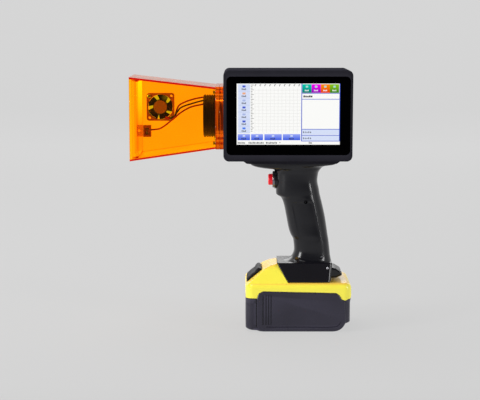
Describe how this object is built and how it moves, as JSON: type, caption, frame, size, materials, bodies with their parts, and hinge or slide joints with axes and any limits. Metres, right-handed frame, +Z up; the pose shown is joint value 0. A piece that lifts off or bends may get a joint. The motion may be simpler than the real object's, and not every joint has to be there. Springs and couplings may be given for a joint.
{
  "type": "handheld date coder",
  "caption": "Handheld date and lot marking unit: a screen housing on a pistol grip with a push-button trigger, an amber shield with a small fan at its marking end, and a slide-on battery pack.",
  "frame": {"origin": "The centre of the battery's underside, on the surface it stands on.", "axes": "+Z is up, -X is the way the shield's open mouth points, and the screen faces -Y."},
  "size_m": [0.2358, 0.074, 0.2794],
  "materials": {
    "housing_plastic": "fine moulded texture, satin",
    "cover_glass": "black-backed polished glass",
    "display": "lit screen",
    "circuit_board": "green solder mask",
    "module_metal": "black anodised",
    "lens_metal": "black anodised, satin",
    "lens_glass": "coated, polished",
    "amber_acrylic": "polished see-through",
    "flange_acrylic": "polished, stacked sheets",
    "steel": "plain zinc plated",
    "black_plastic": "fine texture",
    "cable_sheath": "smooth",
    "sensor_board": "matt",
    "grip_plastic": "satin moulded",
    "button_plastic": "glossy",
    "foot_plastic": "glossy",
    "terminal_brass": "bright",
    "pack_yellow": "satin moulded",
    "pack_grey": "satin moulded",
    "cell_sleeve": "sleeved steel can, weighs about 2.7 g per cubic centimetre"
  },
  "bodies": {
    "main_unit": {"front_bezel": "housing_plastic", "rear_housing": "housing_plastic", "touch_glass": "cover_glass", "display_panel": "display", "main_board": "circuit_board", "marking_module": "module_metal", "lens_barrel": "lens_metal", "lens_ring": "lens_metal", "lens_window": "lens_glass", "shield_top_plate": "amber_acrylic", "shield_bottom_plate": "amber_acrylic", "shield_screen_side_plate": "amber_acrylic", "shield_back_side_plate": "amber_acrylic", "mouth_strip_top": "amber_acrylic", "mouth_strip_bottom": "amber_acrylic", "mouth_strip_screen_side": "amber_acrylic", "mouth_strip_back_side": "amber_acrylic", "shield_flange_outer": "flange_acrylic", "shield_flange_inner": "flange_acrylic", "flange_screw_1": "steel", "flange_screw_2": "steel", "flange_screw_3": "steel", "flange_screw_4": "steel", "handle_screw_1": "steel", "handle_screw_2": "steel", "trigger_bezel": "steel", "trigger_spring": "steel", "fan_frame": "black_plastic", "sensor_housing": "black_plastic", "trigger_switch": "black_plastic", "foot_terminal_block": "black_plastic", "fan_lead_upper": "cable_sheath", "fan_lead_lower": "cable_sheath", "sensor_lead": "cable_sheath", "power_harness": "cable_sheath", "lead_grommet": "cable_sheath", "sensor_board": "sensor_board", "handle_plinth": "grip_plastic", "handle_shell_screen_side": "grip_plastic", "handle_shell_back_side": "grip_plastic", "foot_housing": "foot_plastic", "foot_terminal_screen_side": "terminal_brass", "foot_terminal_back_side": "terminal_brass"},
    "trigger": {"trigger_button": "button_plastic"},
    "fan": {"fan_rotor": "black_plastic"},
    "battery": {"battery_upper_shell": "pack_yellow", "battery_lower_shell": "pack_grey", "battery_release_spring": "steel", "battery_management_board": "circuit_board", "battery_cell_1": "cell_sleeve", "battery_cell_2": "cell_sleeve", "battery_cell_3": "cell_sleeve", "battery_cell_4": "cell_sleeve", "battery_cell_5": "cell_sleeve", "battery_cell_6": "cell_sleeve", "battery_cell_7": "cell_sleeve", "battery_cell_8": "cell_sleeve", "battery_cell_9": "cell_sleeve", "battery_cell_10": "cell_sleeve"},
    "release": {"battery_release_button": "foot_plastic"}
  },
  "joints": [
    {"name": "trigger_press", "type": "slide", "parent": "main_unit", "child": "trigger", "axis": [1, 0, 0], "range_m": [0, 0.003], "stiffness_N_per_m": 500, "springref_m": -0.003, "deforming": ["trigger_spring"]},
    {"name": "fan_spin", "type": "hinge", "parent": "main_unit", "child": "fan", "pos_m": [-0.1496, 0.028, 0.237], "axis": [0, 1, 0], "continuous": true},
    {"name": "battery_slide", "type": "slide", "parent": "main_unit", "child": "battery", "axis": [-1, 0, 0], "range_m": [0, 0.07]},
    {"name": "release_press", "type": "slide", "parent": "battery", "child": "release", "axis": [0.643, 0, -0.7659], "range_m": [0, 0.003], "stiffness_N_per_m": 500, "springref_m": -0.003, "deforming": ["battery_release_spring"]}
  ]
}
